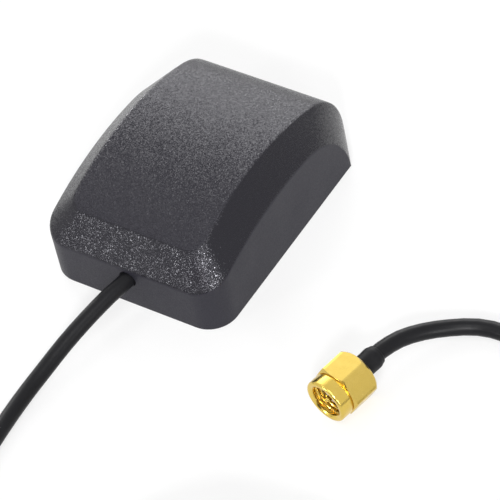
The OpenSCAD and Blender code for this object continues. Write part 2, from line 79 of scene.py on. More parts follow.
# Turns the faces outwards, and joins points that lie closer than the weld where joined is set
def newObject(name, verts, faces, joined=False):
    mesh = bpy.data.meshes.new(name)
    mesh.from_pydata([Vector(v) * mm for v in verts], [], faces)
    work = bmesh.new()
    work.from_mesh(mesh)
    if joined:
        bmesh.ops.remove_doubles(work, verts=work.verts, dist=weld * mm)
        bmesh.ops.dissolve_degenerate(work, edges=work.edges, dist=weld * mm)
    bmesh.ops.recalc_face_normals(work, faces=work.faces)
    work.to_mesh(mesh)
    work.free()
    obj = bpy.data.objects.new(name, mesh)
    bpy.context.scene.collection.objects.link(obj)
    return obj


# Smooth shading, sharp where faces meet at more than this angle
def smooth(obj, angle):
    for face in obj.data.polygons:
        face.use_smooth = True
    obj.data.set_sharp_from_angle(angle=math.radians(angle))


# Keeps large flat faces looking flat beside small rounded ones
def keepFlats(obj):
    keep = obj.modifiers.new("flatFaces", "WEIGHTED_NORMAL")
    keep.weight = 100
    keep.keep_sharp = True


# Faces between rings of points that follow one another
def ringFaces(rings, sides, base=0, closed=False):
    faces = []
    for i in range(rings if closed else rings - 1):
        low, high = base + i * sides, base + (i + 1) % rings * sides
        for k in range(sides):
            n = (k + 1) % sides
            faces.append((low + k, low + n, high + n, high + k))
    return faces


# Faces between open rows of point numbers
def rowFaces(rows):
    faces = []
    for low, high in zip(rows, rows[1:]):
        for i in range(len(low) - 1):
            faces.append((low[i], low[i + 1], high[i + 1], high[i]))
    return faces


# Smooth line through points, with a few steps between each pair
def smoothLine(points, steps):
    pts = [Vector(p) for p in points]
    out = []
    for i in range(len(pts) - 1):
        a, b = pts[i], pts[i + 1]
        before = pts[i - 1] if i else a * 2 - b
        after = pts[i + 2] if i + 2 < len(pts) else b * 2 - a
        for k in range(steps):
            t = k / steps
            out.append(0.5 * (
                2 * a + (b - before) * t
                + (2 * before - 5 * a + 4 * b - after) * t * t
                + (3 * a - before - 3 * b + after) * t ** 3))
    out.append(pts[-1])
    return out


# Round tube with closed ends along a line; its sides turn as little as they can
def tube(line, radius, sides):
    verts = []
    side = None
    for i, p in enumerate(line):
        heading = (line[min(i + 1, len(line) - 1)] - line[max(i - 1, 0)]).normalized()
        if side is None:
            side = heading.cross(Vector((0, 0, 1))).normalized()
        side = (side - heading * side.dot(heading)).normalized()
        other = heading.cross(side)
        for k in range(sides):
            a = math.tau * k / sides
            verts.append(p + radius * (math.cos(a) * side + math.sin(a) * other))
    firstEnd = tuple(range(sides - 1, -1, -1))
    lastEnd = tuple((len(line) - 1) * sides + k for k in range(sides))
    return verts, [firstEnd] + ringFaces(len(line), sides) + [lastEnd]


# The antenna's cable: out of the housing, into the stored coil, and on to the plug.
# The route points are those of part.scad.

cable = {
    "diameter": 2.8,
    "lead": [
        (0, -18.2, 6.2), (0, -23, 6.2), (-1, -27, 5.9), (-2.3, -32, 4.9), (-3.5, -37, 3.6),
        (-4.3, -42, 2.4), (-4.8, -47, 1.6), (-4.7, -52, 1.4), (-4.2, -58, 1.4), (-3.4, -65, 1.4),
        (-2, -72, 1.4), (0.6, -79, 1.4), (4.6, -85.5, 1.4), (9.8, -91.3, 1.4), (16, -96.2, 1.4),
        (22.8, -100.2, 1.4), (30.2, -103.1, 1.5), (37.8, -104.8, 1.7), (45.4, -105.4, 1.9),
        (53, -105.5, 2),
    ],
    "tail": [
        (77.5, -81, 10.4), (77.7, -73, 9.8), (77.8, -66, 7.8), (77.8, -59, 4.8),
        (77.8, -52, 2.4), (77.8, -45, 1.5), (77.7, -38, 1.4), (77.2, -31, 1.4),
        (76.1, -24.4, 1.4), (74.2, -18, 1.4), (71.4, -12.4, 1.4), (67.6, -7.9, 1.4),
        (63.2, -5.2, 1.4), (58.6, -4.3, 1.4), (54.2, -5, 1.5), (50.3, -7.3, 1.9),
        (47.3, -10.4, 2.8), (45.2, -13.7, 3.6), (43.944, -17.089, 4), (43.549, -18.947, 4),
    ],
    "coilMiddle": (53, -81),
    "innerTurn": 10.5,     # radii of the jacket's middle
    "outerTurn": 24.5,
    "firstLayer": 2.0,
    "layers": 4,
    "startAngle": -90.0,   # the lead comes in at the coil's front
    "pointsPerTurn": 32,
    "stepsBetween": 2,     # along the route points
    "sides": 12,
}


# Turns of the coil: each layer winds in or out, and climbs a layer on its last turn
def coilLine(facts):
    cx, cy = facts["coilMiddle"]
    d = facts["diameter"]
    inner, outer = facts["innerTurn"], facts["outerTurn"]
    perTurn = facts["pointsPerTurn"]
    spiral = round((outer - inner) / d) * perTurn
    angle = facts["startAngle"]
    out = []
    for layer in range(facts["layers"]):
        z = facts["firstLayer"] + layer * d
        start, end = (outer, inner) if layer % 2 == 0 else (inner, outer)
        for i in range(spiral):
            out.append((angle, start + (end - start) * i / spiral, z))
            angle += 360 / perTurn
        last = layer == facts["layers"] - 1
        for i in range(perTurn // 4 if last else perTurn):
            t = i / perTurn
            rise = 0 if last else d * (3 * t * t - 2 * t ** 3)
            out.append((angle, end, z + rise))
            angle += 360 / perTurn
    return [
        Vector((cx + r * math.cos(math.radians(a)), cy + r * math.sin(math.radians(a)), z))
        for a, r, z in out
    ]


def makeCable(facts):
    lead = smoothLine(facts["lead"], facts["stepsBetween"])[:-1]
    tail = smoothLine(facts["tail"], facts["stepsBetween"])
    line = lead + coilLine(facts) + tail
    obj = newObject("antennaCable", *tube(line, facts["diameter"] / 2, facts["sides"]))
    smooth(obj, 50)
    return obj, line


antennaCable, cableLine = makeCable(cable)
cableLength = sum((b - a).length for a, b in zip(cableLine, cableLine[1:])) * mm
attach(antennaCable, "antenna")
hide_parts("cable_lead", "cable_coil", "cable_tail")
print("cable made, length", round(cableLength, 3))

# Housing shell, from the same sizes as part.scad, with softened creases

housing = {
    "halfWidth": 17, "frontY": -23, "backY": 23, "height": 17.3,
    "roofPeak": -1.3, "roofFall": 3.5, "roofBackZ": 3.7,
    "sideHeight": 13, "sidePeak": -0.9, "sideFall": 4.55, "sideBackIn": 5.4,
    "sideBevel": 4.3, "frontBevel": 3.9, "cornerR": 4.9, "roofCornerR": 2.9,
    "wall": 1.6, "creaseIn": 0.663,
    "wallCrease": 0.45,   # how far each softened crease reaches
    "roofCrease": 0.6,
    "foot": 0.18,         # easing of the lower edge
    "rimHeight": 3,       # how far up the walls' inside is drawn
    "holeZ": 6.2, "holeR": 1.45, "holeLip": 0.14,
    # Steps of the mesh across the front's half, round a corner, over the arch and down the back
    "frontSteps": 8, "cornerSteps": 12, "archSteps": 56, "backSteps": 4,
    "archEase": 0.45,     # above 0 sets the arch's steps closer together at the front
    "holeSteps": 40,
    "holeHalf": 2,        # front steps each side of the middle that the hole takes
}


# Side view of an arch: one arc from the front over the peak, and a tighter one down to the end
class Outline:
    def __init__(self, h, peak, fall, frontY, backZ, backEnd):
        span = peak - frontY
        self.r = (span * span + fall * fall) / (2 * fall)
        self.centre = (peak, h - self.r)
        d = backEnd - peak
        self.endR = (self.r ** 2 - d * d - (backZ - h + self.r) ** 2) / (2 * (self.r - d))
        self.end = (backEnd - self.endR, backZ)
        self.join = math.atan2(self.end[1] - self.centre[1], self.end[0] - self.centre[0])

    def z(self, y):
        return self.centre[1] + math.sqrt(self.r ** 2 - (y - self.centre[0]) ** 2)

    def start(self, y):
        return math.acos((y - self.centre[0]) / self.r)

    def at(self, a):
        c, r = (self.centre, self.r) if a > self.join else (self.end, self.endR)
        return c[0] + r * math.cos(a), c[1] + r * math.sin(a)


# Stations from the front's middle round the right side to the back, each with a point of the
# wall's crease, one of the roof's crease, and the way inwards
def shellStations(h):
    roofFront = h["frontY"] + h["frontBevel"]
    side = Outline(h["sideHeight"], h["sidePeak"], h["sideFall"], h["frontY"], 0,
                   h["backY"] - h["sideBackIn"])
    roof = Outline(h["height"], h["roofPeak"], h["roofFall"], roofFront, h["roofBackZ"],
                   h["backY"])
    roofHalf = h["halfWidth"] - h["sideBevel"]
    wallFlat = h["halfWidth"] - h["cornerR"]
    roofFlat = roofHalf - h["roofCornerR"]
    out = []
    for i in range(h["frontSteps"] + 1):
        f = i / h["frontSteps"]
        out.append(((wallFlat * f, h["frontY"], side.z(h["frontY"])),
                    (roofFlat * f, roofFront, roof.z(roofFront)), (0, 1)))
    wallY, roofY = h["frontY"] + h["cornerR"], roofFront + h["roofCornerR"]
    for i in range(1, h["cornerSteps"] + 1):
        a = math.radians(90 / h["cornerSteps"] * i)
        s, c = math.sin(a), math.cos(a)
        y1, y2 = wallY - h["cornerR"] * c, roofY - h["roofCornerR"] * c
        out.append(((wallFlat + h["cornerR"] * s, y1, side.z(y1)),
                    (roofFlat + h["roofCornerR"] * s, y2, roof.z(y2)), (-s, c)))
    a1, a2 = side.start(wallY), roof.start(roofY)
    for i in range(1, h["archSteps"] + 1):
        t = i / h["archSteps"]
        t = (1 - h["archEase"]) * t + h["archEase"] * t * t
        y1, z1 = side.at(a1 * (1 - t))
        y2, z2 = roof.at(a2 * (1 - t))
        out.append(((h["halfWidth"], y1, max(z1, 0)), (roofHalf, y2, z2), (-1, 0)))
    for i in range(1, h["backSteps"] + 1):
        z = h["roofBackZ"] * (1 - i / h["backSteps"])
        out.append((out[-1][0], (roofHalf, h["backY"], z), (-1, 0)))
    return out, roof


# Points of a softened corner at p, which starts towards a and ends towards b
def softCorner(p, a, b, reach, steps=4, most=0.45):
    p, a, b = Vector(p), Vector(a), Vector(b)
    start = p + (a - p).normalized() * min(reach, (a - p).length * most)
    end = p + (b - p).normalized() * min(reach, (b - p).length * most)
    out = []
    for i in range(steps + 1):
        t = i / steps
        out.append(start * (1 - t) ** 2 + p * 2 * t * (1 - t) + end * t * t)
    return out


# One column of points: eased foot, wall's crease, roof's crease, and a step in over the roof
def shellColumn(h, station, roof):
    wallTop, roofEdge, inward = station
    wallTop, roofEdge = Vector(wallTop), Vector(roofEdge)
    foot = Vector((wallTop.x, wallTop.y, 0))
    up = Vector((0, 0, 1))
    way = Vector((inward[0], inward[1], 0))
    ease = h["foot"] * min(1, wallTop.z / 2)   # none where the wall runs out at the back
    column = [foot + way * ease, foot + (way + up) * ease * 0.3, foot + up * ease]
    column += softCorner(wallTop, foot + up * 1e-4, roofEdge, h["wallCrease"])
    inner = roofEdge + way * h["roofCrease"]
    if inward[1]:
        inner.z = roof.z(inner.y)
    soft = softCorner(roofEdge, wallTop, inner, h["roofCrease"])
    soft[-1] = inner
    return column + soft


# Roof between the two rows of columns' ends
def addRoof(h, right, verts, faces):
    across = 2 * h["frontSteps"]
    rows = []
    for column in right[h["frontSteps"]:]:
        end = column[-1]
        rows.append(range(len(verts), len(verts) + across + 1))
        verts += [Vector((end.x * (2 * j / across - 1), end.y, end.z)) for j in range(across + 1)]
    faces += rowFaces(rows)


# Front wall inside the loop of points, with the cable's hole and the hole's inside
def addHole(h, loop, verts, faces):
    steps = h["holeSteps"]
    ring, lip, deep = [], [], []
    for store, r, back in ((ring, h["holeR"] + h["holeLip"], 0), (lip, h["holeR"], h["holeLip"]),
                           (deep, h["holeR"], h["wall"])):
        for j in range(steps):
            a = math.tau * j / steps
            store.append(len(verts))
            verts.append(Vector((r * math.cos(a), h["frontY"] + back,
                                 h["holeZ"] + r * math.sin(a))))
    flat = [[(verts[i].x, verts[i].z, 0) for i in line] for line in (loop, ring)]
    names = loop + ring
    for corners in tessellate_polygon(flat):
        faces.append(tuple(names[i] for i in corners))
    for j in range(steps):
        n = (j + 1) % steps
        faces.append((ring[j], ring[n], lip[n], lip[j]))
        faces.append((lip[j], lip[n], deep[n], deep[j]))


# Point of the wall's inside that belongs to a point of its outside
def insidePoint(h, p):
    cornerX, cornerY = h["halfWidth"] - h["cornerR"], h["frontY"] + h["cornerR"]
    if p.y < cornerY and p.x > cornerX:
        way = Vector((p.x - cornerX, p.y - cornerY, 0)).normalized()
        return Vector((cornerX, cornerY, 0)) + way * (h["cornerR"] - h["wall"])
    if p.y < 0 and p.x <= cornerX:
        return Vector((p.x, h["frontY"] + h["wall"], 0))
    if p.y >= h["backY"] - 0.01:
        roofHalf = h["halfWidth"] - h["sideBevel"]
        return Vector((p.x * (roofHalf - h["creaseIn"]) / roofHalf, h["backY"] - h["wall"], 0))
    lastY = h["backY"] - h["sideBackIn"] - h["creaseIn"]
    return Vector((h["halfWidth"] - h["wall"], min(p.y, lastY), 0))


# Rim under the walls and the start of the inside above it
def addRim(h, right, verts, faces):
    steps = h["backSteps"]
    backX = right[-1][-1].x
    outer = [column[0] for column in right]
    outer += [Vector((backX * (1 - j / steps), h["backY"], 0)) for j in range(steps + 1)]
    inner = [insidePoint(h, p) for p in outer]
    for sign in (1, -1):
        rows = []
        for line, z in ((outer, 0), (inner, 0), (inner, h["rimHeight"])):
            rows.append(range(len(verts), len(verts) + len(line)))
            verts += [Vector((sign * p.x, p.y, z)) for p in line]
        faces += rowFaces(rows)


def makeShell(h):
    stations, roof = shellStations(h)
    right = [shellColumn(h, s, roof) for s in stations]
    left = [[Vector((-p.x, p.y, p.z)) for p in column] for column in right]
    columns = left[:0:-1] + right
    middle = len(left) - 1
    tall = len(columns[0])
    wallRow = 2      # the plain wall is between the points 2 and 3 of a column
    reach = h["holeHalf"]
    verts = [p for column in columns for p in column]
    faces = []
    for i in range(len(columns) - 1):
        for k in range(tall - 1):
            if k == wallRow and middle - reach <= i < middle + reach:
                continue
            a, b = i * tall + k, (i + 1) * tall + k
            faces.append((a, b, b + 1, a + 1))
    addRoof(h, right, verts, faces)
    loop = [(middle + d) * tall + wallRow for d in range(-reach, reach + 1)]
    loop += [(middle + d) * tall + wallRow + 1 for d in range(reach, -reach - 1, -1)]
    addHole(h, loop, verts, faces)
    addRim(h, right, verts, faces)
    return newObject("housingShell", verts, faces, joined=True)


# Three finishes of the mould: satin on the walls, grained on the bevels and on the roof.
# The bevels' grained material is coloured darker than the roof's, as painted shade
def finishShell(obj, h):
    frontPart = (h["frontY"] + h["cornerR"]) * mm
    for face in obj.data.polygons:
        n = face.normal
        upright = abs(n.z) < 0.3
        sideOrFront = abs(n.x) > 0.95 or face.center.y < frontPart
        bevel = abs(n.x) > 0.3 or n.y < -0.5
        face.material_index = 0 if upright and sideOrFront else 1 if bevel else 2
    smooth(obj, 40)
    keepFlats(obj)


housingShell = makeShell(housing)
finishShell(housingShell, housing)
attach(housingShell, "antenna")
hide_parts("radome")
print("housing shell made")

# Pieces of the plug are made round its own axis, with the front at zero, and then put in place

plug = {"at": (41.2, -30, 4), "turn": 12}


def onPlug(r, angle, along):
    x, y = r * math.cos(angle), r * math.sin(angle)
    s, c = math.sin(math.radians(plug["turn"])), math.cos(math.radians(plug["turn"]))
    px, py, pz = plug["at"]
    return px + x * c + along * s, py - x * s + along * c, pz - y


# Coupling nut: hex with chamfers, groove, collar with a rounded rim, and its thread

nut = {
    "halfFlats": 4.0, "cornerR": 4.56, "length": 7.9,
    "collarR": 3.875, "collarEnd": 2.3, "grooveR": 3.625, "grooveEnd": 2.5,
    "rimInR": 3.24, "rimR": 3.46, "rimRound": 0.4,
    "frontR": 3.95, "frontDeep": 0.45,   # front chamfer, from this radius to the full corner
    # Rear chamfer, in two slopes: its radii, and how far in front of the rear face each lies
    "fullR": 4.72, "fullBack": 1.4, "bendR": 4.369, "bendBack": 0.6, "rearR": 3.8,
    "crestR": 2.85, "rootR": 3.14, "pitch": 25.4 / 36,
    "threadStart": 0.3, "threadEnd": 4.5, "threadFade": 0.3,
    "seatEnd": 4.8, "boreR": 2.62,
    "stepsPerFace": 16, "rimSteps": 5,
    "cornerEase": 0.8,    # below 1 sets the steps closer together at the hex's corners
}


# Section of the nut where its hex reaches this radius, as (distance from the front, radius).
# Offsets of a few hundredths of a millimetre ease the edges.
def nutColumn(n, reach):
    length, collar, groove = n["length"], n["collarR"], n["grooveR"]
    full, bendR, bendZ = n["fullR"], n["bendR"], length - n["bendBack"]
    front = n["grooveEnd"] + 0.02 + (reach - n["frontR"]) / (full - n["frontR"]) * n["frontDeep"]
    if reach > bendR:
        slope = (n["fullBack"] - n["bendBack"]) / (full - bendR)
        rear = length - n["fullBack"] + (full - reach) * slope
        bend = (bendZ, bendR)
    else:
        rear = bendZ + (bendR - reach) / (bendR - n["rearR"]) * n["bendBack"]
        bend = (rear * 0.6 + length * 0.4, reach * 0.6 + n["rearR"] * 0.4)
    column = [(n["threadStart"], n["crestR"]), (0.06, 3.1), (0.0, n["rimInR"]), (0.0, n["rimR"])]
    for i in range(1, n["rimSteps"] + 1):
        a = math.radians(90 * i / n["rimSteps"])
        column.append((n["rimRound"] * (1 - math.cos(a)),
                       n["rimR"] + (collar - n["rimR"]) * math.sin(a)))
    return column + [
        (n["collarEnd"] - 0.12, collar), (n["collarEnd"] - 0.03, collar - 0.04),
        (n["collarEnd"], collar - 0.12), (n["collarEnd"] + 0.02, groove + 0.04),
        (n["collarEnd"] + 0.06, groove), (n["grooveEnd"] - 0.02, groove),
        (n["grooveEnd"], groove + 0.03), (n["grooveEnd"], n["frontR"] - 0.05),
        (n["grooveEnd"] + 0.02, n["frontR"]),
        (front, reach), (front + 0.06, reach), (rear - 0.06, reach), (rear, reach), bend,
        (length - 0.05, n["rearR"] + 0.05), (length, n["rearR"] - 0.05),
        (length, n["boreR"] + 0.1), (length - 0.1, n["boreR"]),
        (n["seatEnd"], n["boreR"]), (n["seatEnd"], n["crestR"]), (n["threadEnd"], n["crestR"]),
    ]


# Angles round the nut, each with its angle from the middle of its flat. A flat faces down, so
# their middles are at odd multiples of 30.
def nutAngles(n):
    out = []
    for flat in range(6):
        for i in range(n["stepsPerFace"]):
            t = 2 * i / n["stepsPerFace"] - 1
            t = math.copysign(abs(t) ** n["cornerEase"], t)
            out.append((60 * flat + 30 + 30 * t, 30 * t))
    return out


# Rows of the thread follow its helix, and are held at its two ends
def threadRows(n, angles, verts):
    crest, root, first, last = n["crestR"], n["rootR"], n["threadStart"], n["threadEnd"]
    profile = [(0.0, crest), (0.2, crest), (0.56, root), (0.66, root)]   # part of a pitch, radius
    count = len(angles)
    rows = []
    for turn in range(-1, int((last - first) / n["pitch"]) + 2):
        for part, r in profile:
            rows.append(range(len(verts), len(verts) + count + 1))
            for i in range(count + 1):
                angle = angles[i % count][0]
                turned = angle + (360 if i == count else 0) - angles[0][0]
                along = first + n["pitch"] * (turn + part + turned / 360)
                fade = min(along - first, last - along) / n["threadFade"]
                radius = crest + (r - crest) * max(0, min(1, fade))
                verts.append(onPlug(radius, math.radians(angle), min(max(along, first), last)))
    return rows


def makeNut(n):
    angles = nutAngles(n)
    count = len(angles)
    verts, faces = [], []
    for angle, off in angles:
        reach = min(n["halfFlats"] / math.cos(math.radians(off)), n["cornerR"])
        column = nutColumn(n, reach)
        verts += [onPlug(r, math.radians(angle), along) for along, r in column]
    tall = len(column)
    for i in range(count):
        j = (i + 1) % count
        for k in range(tall - 1):
            faces.append((i * tall + k, j * tall + k, j * tall + k + 1, i * tall + k + 1))
    faces += rowFaces(threadRows(n, angles, verts))
    obj = newObject("couplingNut", verts, faces, joined=True)
    smooth(obj, 28)
    keepFlats(obj)
    return obj


# The hex is drawn bar and the rest is turned, so the hex takes a finish without rings, in a
# gold coloured a little darker as painted shade
def finishNut(obj, n):
    turn = math.radians(plug["turn"])
    axis, front = Vector((math.sin(turn), math.cos(turn), 0)), Vector(plug["at"])
    hexFrom = (n["collarR"] + n["halfFlats"]) / 2
    for face in obj.data.polygons:
        fromAxis = (face.center / mm - front).cross(axis).length
        face.material_index = 1 if fromAxis > hexFrom else 0


couplingNut = makeNut(nut)
finishNut(couplingNut, nut)
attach(couplingNut, "nut")
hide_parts("coupling_nut")
print("coupling nut made")

# Heat-shrink sleeve: tight on the ferrule, slightly waisted, and drawn in on the jacket

sleeve = {
    "sides": 40,
    "wave": 0.012,    # unevenness left by shrinking
    "profile": [
        (7.62, 1.66), (7.6, 1.8), (7.66, 1.9), (7.8, 1.935), (8.4, 1.925), (9.2, 1.9),
        (10.0, 1.905), (10.7, 1.93), (11.15, 1.935), (11.35, 1.9), (11.6, 1.8), (11.85, 1.72),
        (12.05, 1.68), (12.15, 1.62), (12.18, 1.5), (12.14, 1.41),
    ],
}


def makeSleeve(facts):
    sides, rows = facts["sides"], facts["profile"]
    verts = []
    for along, r in rows:
        for i in range(sides):
            a = math.tau * i / sides
            uneven = facts["wave"] * math.sin(3 * a + 2.1 * along) * math.sin(1.7 * along)
            verts.append(onPlug(r + uneven, a, along))
    obj = newObject("shrinkSleeve", verts, ringFaces(len(rows), sides))
    smooth(obj, 60)
    return obj


shrinkSleeve = makeSleeve(sleeve)
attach(shrinkSleeve, "antenna")
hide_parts("heat_shrink_sleeve")
print("sleeve made")

# Strap round the coil: a woven band with its end laid over the start

strap = {
    "middle": cable["coilMiddle"],
    "side": 180,             # direction from it to the strap, in degrees
    "near": 9.1, "far": 25.9, "low": 0.6, "high": 11.8,
    "width": 5, "thick": 0.55, "round": 1.2, "edge": 0.16,
    "lap": 7.0, "lapFromTop": 2,
    "roundSteps": 6, "lapSteps": 8,
}


def strapPath(s, out):
    x0, x1, z0, z1 = s["near"] - out, s["far"] + out, s["low"] - out, s["high"] + out
    r = s["round"] + out
    corners = [(x1 - r, z0 + r, -90), (x1 - r, z1 - r, 0),
               (x0 + r, z1 - r, 90), (x0 + r, z0 + r, 180)]
    pts = []
    for cx, cz, start in corners:
        for i in range(s["roundSteps"] + 1):
            a = math.radians(start + 90 / s["roundSteps"] * i)
            pts.append((cx + r * math.cos(a), cz + r * math.sin(a)))
    return pts


def onStrap(s, x, z, across):
    cx, cy = s["middle"]
    turn = math.radians(s["side"])
    return (cx + x * math.cos(turn) - across * math.sin(turn),
            cy + x * math.sin(turn) + across * math.cos(turn), z)


def makeStrap(s):
    half, e = s["width"] / 2, s["edge"]
    # Section across the band with eased edges, as (place across, share of the thickness)
    section = [(-half + e, 0), (-half, 0.3), (-half, 0.7), (-half + e, 1), (half - e, 1),
               (half, 0.7), (half, 0.3), (half - e, 0)]
    sides = len(section)
    inner, outer = strapPath(s, 0.0), strapPath(s, s["thick"])
    verts = []
    for a, b in zip(inner, outer):
        for w, t in section:
            verts.append(onStrap(s, a[0] + (b[0] - a[0]) * t, a[1] + (b[1] - a[1]) * t, w))
    faces = ringFaces(len(inner), sides, closed=True)
    # The free end lies on the outer side, and thins at its tip
    base = len(verts)
    steps = s["lapSteps"]
    for i in range(steps + 1):
        z = s["high"] - s["lapFromTop"] - s["lap"] * i / steps
        thick, wide = (0.95, 0.98) if i < steps else (0.7, 0.9)
        for w, t in section:
            verts.append(onStrap(s, s["far"] + s["thick"] + s["thick"] * thick * t, z, w * wide))
    faces += ringFaces(steps + 1, sides, base)
    for end in (base, base + steps * sides):
        faces.append(tuple(end + k for k in range(sides)))
    obj = newObject("coilStrap", verts, faces)
    smooth(obj, 40)
    return obj


coilStrap = makeStrap(strap)
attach(coilStrap, "antenna")
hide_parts("coil_tie")
print("strap made")

# Materials


def colour(hexText):
    parts = [int(hexText[i:i + 2], 16) / 255 for i in (1, 3, 5)]
    return [p / 12.92 if p <= 0.04045 else ((p + 0.055) / 1.055) ** 2.4 for p in parts] + [1]


# Adds a node with its settings; an input's value may be another node's output
def addNode(tree, kind, inputs=None, **settings):
    node = tree.nodes.new("ShaderNode" + kind)
    for name, value in settings.items():
        setattr(node, name, value)
    for name, value in (inputs or {}).items():
        if isinstance(value, bpy.types.NodeSocket):
            tree.links.new(value, node.inputs[name])
        else:
            node.inputs[name].default_value = value
    return node


def newMaterial(name, **shader):
    material = bpy.data.materials.new(name)
    material.use_nodes = True
    tree = material.node_tree
    surface = tree.nodes["Principled BSDF"]
    for socket, value in shader.items():
        surface.inputs[socket.replace("_", " ")].default_value = value
    place = addNode(tree, "TexCoord").outputs["Object"]
    return material, tree, surface, place


# Links outputs to the surface's sockets
def linkSurface(tree, surface, **outputs):
    for socket, output in outputs.items():
        tree.links.new(output, surface.inputs[socket.replace("_", " ")])


def ramp(tree, value, low, high, stops):
    node = addNode(tree, "MapRange", {"Value": value, "From Min": low, "From Max": high,
                                      "To Min": stops[0], "To Max": stops[1]})
    return node.outputs["Result"]


def mixColours(tree, factor, a, b):
    node = addNode(tree, "Mix", {0: factor}, data_type="RGBA")
    node.inputs[6].default_value = colour(a)
    node.inputs[7].default_value = colour(b)
    return node.outputs[2]


# Scale of a texture whose cells or strands are this wide; objects are measured in metres
def perMetre(widthMm):
    return 1 / (widthMm * mm)


# The same for the bands of a wave texture, which lie tau / 20 apart at scale 1
def bandsPerMetre(apartMm):
    return perMetre(apartMm) * math.tau / 20


# ABS moulded in a spark-eroded tool: grey-black. Each grain's facet tilts its own way and has its
# own gloss, from glint to rough, so that some of them sparkle. Real grain is about 0.1 mm wide;
# it is drawn a little coarser to show.
def sparkAbs(name, dark, light, grain, tilt, depth, glint, rough):
    material, tree, surface, place = newMaterial(
        name, IOR=1.53, Specular_Tint=(0.93, 0.92, 1, 1), Specular_IOR_Level=0.34)
    fine = addNode(tree, "TexNoise", {"Vector": place, "Scale": perMetre(grain), "Detail": 3.0,
                                      "Roughness": 0.6})
    cells = addNode(tree, "TexVoronoi", {"Vector": place, "Scale": perMetre(grain)})
    cloud = addNode(tree, "TexNoise", {"Vector": place, "Scale": perMetre(9), "Detail": 2.0})
    bump = addNode(tree, "Bump", {"Height": fine.outputs["Fac"], "Distance": depth * mm})
    centred = addNode(tree, "VectorMath", {0: cells.outputs["Color"], 1: (0.5, 0.5, 0.5)},
                      operation="SUBTRACT")
    tilted = addNode(tree, "VectorMath", {0: centred.outputs[0], 1: (tilt, tilt, tilt),
                                          2: bump.outputs["Normal"]}, operation="MULTIPLY_ADD")
    facing = addNode(tree, "VectorMath", {0: tilted.outputs[0]}, operation="NORMALIZE")
    shine = ramp(tree, cells.outputs["Color"], 0.2, 0.8, (glint, rough))
    wear = ramp(tree, cloud.outputs["Fac"], 0.3, 0.7, (0.95, 1.08))
    both = addNode(tree, "Math", {0: shine, 1: wear}, operation="MULTIPLY")
    # The colour follows the grain's height: lighter on its peaks as painted sparkle, darker in
    # its pits as painted shade
    linkSurface(tree, surface, Normal=facing.outputs[0], Roughness=both.outputs[0],
                Base_Color=mixColours(tree, fine.outputs["Fac"], dark, light))
    return material


# PVC jacket, extruded: near black and satin, with faint waviness along it
def jacketPvc():
    material, tree, surface, place = newMaterial("jacketPvc", IOR=1.53, Specular_IOR_Level=0.16)
    skin = addNode(tree, "TexNoise", {"Vector": place, "Scale": perMetre(0.5), "Detail": 4.0})
    wave = addNode(tree, "TexNoise", {"Vector": place, "Scale": perMetre(4), "Detail": 1.0})
    bump = addNode(tree, "Bump", {"Height": skin.outputs["Fac"], "Distance": 0.01 * mm})
    linkSurface(tree, surface, Normal=bump.outputs["Normal"],
                Base_Color=mixColours(tree, wave.outputs["Fac"], "#0b0b0d", "#141417"),
                Roughness=ramp(tree, skin.outputs["Fac"], 0.3, 0.7, (0.34, 0.46)))
    return material


# Metal, slightly hazed. Where rings gives a distance, it has the rings that turning leaves round
# the plug's axis; real ones are 0.05 mm apart, and they are drawn coarser to show.
def turnedMetal(name, dark, light, rough, rings=0):
    material, tree, surface, place = newMaterial(name, Metallic=1.0)
    haze = addNode(tree, "TexNoise", {"Vector": place, "Scale": perMetre(1.6), "Detail": 3.0})
    linkSurface(tree, surface, Base_Color=mixColours(tree, haze.outputs["Fac"], dark, light),
                Roughness=ramp(tree, haze.outputs["Fac"], 0.3, 0.7, (rough, rough + 0.08)))
    if rings:
        turn = math.radians(plug["turn"] - 90)
        along = addNode(tree, "Mapping", {"Vector": place, "Rotation": (0, 0, turn)})
        marks = addNode(tree, "TexWave", {"Vector": along.outputs[0],
                                          "Scale": bandsPerMetre(rings),
                                          "Distortion": 0.4, "Detail": 1.0},
                        wave_type="BANDS", bands_direction="X")
        bump = addNode(tree, "Bump", {"Height": marks.outputs["Fac"], "Distance": 0.004 * mm})
        linkSurface(tree, surface, Normal=bump.outputs["Normal"])
    return material


# Plain moulded, cast or fired surface with grain, for what lies inside or shows little
def plainSurface(name, dark, light, rough, grain=0.4, depth=0.006, **shader):
    material, tree, surface, place = newMaterial(name, **shader)
    spots = addNode(tree, "TexNoise", {"Vector": place, "Scale": perMetre(grain), "Detail": 4.0})
    bump = addNode(tree, "Bump", {"Height": spots.outputs["Fac"], "Distance": depth * mm})
    linkSurface(tree, surface, Normal=bump.outputs["Normal"],
                Base_Color=mixColours(tree, spots.outputs["Fac"], dark, light),
                Roughness=ramp(tree, spots.outputs["Fac"], 0.3, 0.7,
                               (rough - 0.04, rough + 0.06)))
    return material


# Braid or webbing: two sets of strands that cross, seen as small raised diamonds. The colour
# follows the strands' height: painted highlight on the crossings, painted shade between strands
def wovenSurface(name, dark, light, rough, strand, metal):
    material, tree, surface, place = newMaterial(name, Metallic=metal, Roughness=rough)
    heights = []
    for turn in (35, -35):
        laid = addNode(tree, "Mapping", {"Vector": place, "Rotation": (0, 0, math.radians(turn))})
        heights.append(addNode(tree, "TexWave", {"Vector": laid.outputs[0],
                                                 "Scale": bandsPerMetre(strand),
                                                 "Distortion": 0.3}, bands_direction="DIAGONAL"))
    cross = addNode(tree, "Math", {0: heights[0].outputs["Fac"], 1: heights[1].outputs["Fac"]},
                    operation="MAXIMUM")
    bump = addNode(tree, "Bump", {"Height": cross.outputs[0], "Distance": 0.08 * mm})
    # Painted highlight where the strands rise and painted shade where they sink
    linkSurface(tree, surface, Normal=bump.outputs["Normal"],
                Base_Color=mixColours(tree, cross.outputs[0], dark, light))
    return material
